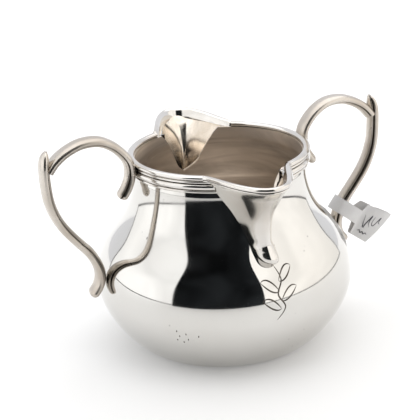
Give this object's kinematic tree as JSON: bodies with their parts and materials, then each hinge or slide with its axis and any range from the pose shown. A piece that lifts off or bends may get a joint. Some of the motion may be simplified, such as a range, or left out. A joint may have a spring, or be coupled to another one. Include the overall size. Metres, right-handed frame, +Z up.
{
  "type": "two-handled silver bowl",
  "caption": "Round-bellied polished silver bowl with scroll handles at the sides, a pouring lip at the front and back, and a paper label on one handle.",
  "frame": {"origin": "centre of the flat base, on the surface that the bowl stands on", "axes": "+Z up out of the mouth, +X towards the handle with the label, -Y towards the front lip"},
  "size_m": [0.1489, 0.1126, 0.0877],
  "materials": {
    "silver": "mirror-polished silver with fine scratches, tarnished grey-brown inside the bowl",
    "cast_silver": "polished cast silver, slightly worn, with brown tarnish in the grooves",
    "label_paper": "matt light grey-white paper with a few pen strokes"
  },
  "bodies": {
    "vessel": {"bowl_body": "silver", "front_spout": "silver", "back_spout": "silver", "front_lip_wire": "silver", "back_lip_wire": "silver", "rim_wire_left": "silver", "rim_wire_right": "silver", "reeded_band_left": "silver", "reeded_band_right": "silver", "left_handle_upper_scroll": "cast_silver", "left_handle_lower_scroll": "cast_silver", "right_handle_upper_scroll": "cast_silver", "right_handle_lower_scroll": "cast_silver"},
    "label": {"price_label": "label_paper"}
  },
  "joints": [
    {"name": "label_swing", "type": "hinge", "parent": "vessel", "child": "label", "pos_m": [0.0531, 0, 0.0407], "axis": [0.6157, 0, 0.788], "range_deg": [-18, 18]}
  ]
}
